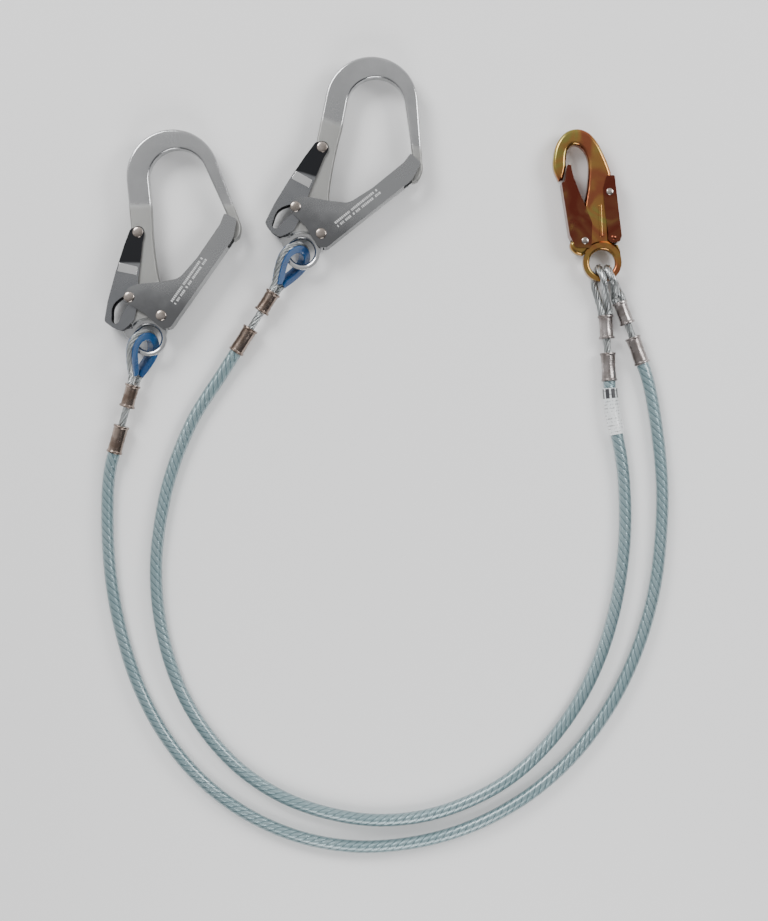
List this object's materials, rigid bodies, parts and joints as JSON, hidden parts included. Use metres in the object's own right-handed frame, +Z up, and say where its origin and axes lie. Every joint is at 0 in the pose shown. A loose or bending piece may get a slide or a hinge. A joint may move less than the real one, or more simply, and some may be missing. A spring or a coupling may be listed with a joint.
{
  "type": "twin-leg wire-rope lanyard",
  "caption": "Fall-protection lanyard laid flat: large gated scaffold hooks on vinyl-coated wire-rope legs that meet at a double-locking snap hook.",
  "frame": {"origin": "on the surface the lanyard lies on, under the middle of its metal parts", "axes": "+Z up from that surface, +X from the scaffold hooks towards the snap hook, +Y towards the noses of the hooks"},
  "size_m": [0.5011, 0.7, 0.0299],
  "materials": {
    "polished_forging": "polished nickel-plated forging, sandblasted along the spine",
    "sheet_steel": "smooth zinc-plated pressed sheet",
    "rivet_steel": "bright domed rivets",
    "spring_steel": "bare spring wire",
    "gold_forging": "yellow chromate, iridescent gold to green",
    "gold_sheet": "yellow chromate, reddish brown with bright bends",
    "copper_ferrule": "plated copper sleeve, crimped",
    "wire_rope": "galvanised stranded wire",
    "blue_thimble": "deep blue, glossy",
    "clear_coated_rope": "clear blue-tinted vinyl over stranded wire",
    "clear_sleeve": "clear sleeve over a white label"
  },
  "bodies": {
    "snap_hook": {"snap_hook_body": "gold_forging", "snap_gate_pivot": "rivet_steel", "snap_lever_pivot": "rivet_steel", "snap_gate_spring": "spring_steel", "snap_lever_spring": "spring_steel"},
    "snap_gate": {"snap_gate": "gold_sheet"},
    "snap_lever": {"snap_lock_lever": "gold_sheet"},
    "outer_leg": {"outer_leg": "clear_coated_rope", "outer_hook_jacket_ferrule": "copper_ferrule", "outer_hook_rope_link": "wire_rope", "outer_hook_eye_ferrule": "copper_ferrule", "outer_hook_rope_eye": "wire_rope", "outer_thimble": "blue_thimble", "outer_snap_jacket_ferrule": "copper_ferrule", "outer_snap_rope_link": "wire_rope", "outer_snap_eye_ferrule": "copper_ferrule", "outer_snap_rope_eye": "wire_rope"},
    "outer_hook": {"outer_hook_body": "polished_forging", "outer_hook_gate_pivot": "rivet_steel", "outer_hook_lever_pivot": "rivet_steel", "outer_hook_gate_spring": "spring_steel", "outer_hook_lever_spring": "spring_steel"},
    "outer_gate": {"outer_hook_gate": "sheet_steel", "outer_hook_lock_pin": "rivet_steel"},
    "outer_lever": {"outer_hook_lock_lever": "sheet_steel"},
    "inner_leg": {"inner_leg": "clear_coated_rope", "inner_hook_jacket_ferrule": "copper_ferrule", "inner_hook_rope_link": "wire_rope", "inner_hook_eye_ferrule": "copper_ferrule", "inner_hook_rope_eye": "wire_rope", "inner_thimble": "blue_thimble", "inner_snap_jacket_ferrule": "copper_ferrule", "inner_snap_rope_link": "wire_rope", "inner_snap_eye_ferrule": "copper_ferrule", "inner_snap_rope_eye": "wire_rope", "label_sleeve": "clear_sleeve"},
    "inner_hook": {"inner_hook_body": "polished_forging", "inner_hook_gate_pivot": "rivet_steel", "inner_hook_lever_pivot": "rivet_steel", "inner_hook_gate_spring": "spring_steel", "inner_hook_lever_spring": "spring_steel"},
    "inner_gate": {"inner_hook_gate": "sheet_steel", "inner_hook_lock_pin": "rivet_steel"},
    "inner_lever": {"inner_hook_lock_lever": "sheet_steel"}
  },
  "joints": [
    {"name": "outer_leg_swing", "type": "hinge", "parent": "snap_hook", "child": "outer_leg", "pos_m": [0.1968, -0.0052, 0.0112], "axis": [0, 0, 1], "range_deg": [-0.5, 2.5]},
    {"name": "outer_hook_swing", "type": "hinge", "parent": "outer_leg", "child": "outer_hook", "pos_m": [-0.20121, -0.0718, 0.0149], "axis": [0, 0, 1], "range_deg": [-6, 12]},
    {"name": "outer_gate_hinge", "type": "hinge", "parent": "outer_hook", "child": "outer_gate", "pos_m": [-0.18921, -0.0526, 0.0149], "axis": [0, 0, 1], "range_deg": [0, 38], "stiffness_Nm_per_rad": 0.25, "springref_deg": -20.05},
    {"name": "outer_lever_hinge", "type": "hinge", "parent": "outer_hook", "child": "outer_lever", "pos_m": [-0.20981, 0.0203, 0.0149], "axis": [0, 0, 1], "range_deg": [0, 6.2], "stiffness_Nm_per_rad": 0.25, "springref_deg": -20.05},
    {"name": "inner_leg_swing", "type": "hinge", "parent": "snap_hook", "child": "inner_leg", "pos_m": [0.1968, -0.0052, 0.0112], "axis": [0, 0, 1], "range_deg": [-2.5, 0.5]},
    {"name": "inner_hook_swing", "type": "hinge", "parent": "inner_leg", "child": "inner_hook", "pos_m": [-0.06669, 0.00392, 0.0149], "axis": [0, 0, 1], "range_deg": [-20, 6]},
    {"name": "inner_gate_hinge", "type": "hinge", "parent": "inner_hook", "child": "inner_gate", "pos_m": [-0.04973, 0.01892, 0.0149], "axis": [0, 0, 1], "range_deg": [0, 38], "stiffness_Nm_per_rad": 0.25, "springref_deg": -20.05},
    {"name": "inner_lever_hinge", "type": "hinge", "parent": "inner_hook", "child": "inner_lever", "pos_m": [-0.04878, 0.09467, 0.0149], "axis": [0, 0, 1], "range_deg": [0, 6.2], "stiffness_Nm_per_rad": 0.25, "springref_deg": -20.05},
    {"name": "snap_gate_hinge", "type": "hinge", "parent": "snap_hook", "child": "snap_gate", "pos_m": [0.1811, 0.0134, 0.0112], "axis": [0, 0, -1], "range_deg": [0, 14], "stiffness_Nm_per_rad": 0.12, "springref_deg": -20.05},
    {"name": "snap_lever_hinge", "type": "hinge", "parent": "snap_hook", "child": "snap_lever", "pos_m": [0.2028, 0.0563, 0.0112], "axis": [0, 0, -1], "range_deg": [0, 3.6], "stiffness_Nm_per_rad": 0.12, "springref_deg": -20.05}
  ],
  "couplings": [
    {"joint": "outer_lever_hinge", "follows": "outer_gate_hinge", "ratio": 0.16},
    {"joint": "inner_lever_hinge", "follows": "inner_gate_hinge", "ratio": 0.16},
    {"joint": "snap_lever_hinge", "follows": "snap_gate_hinge", "ratio": 0.25}
  ]
}
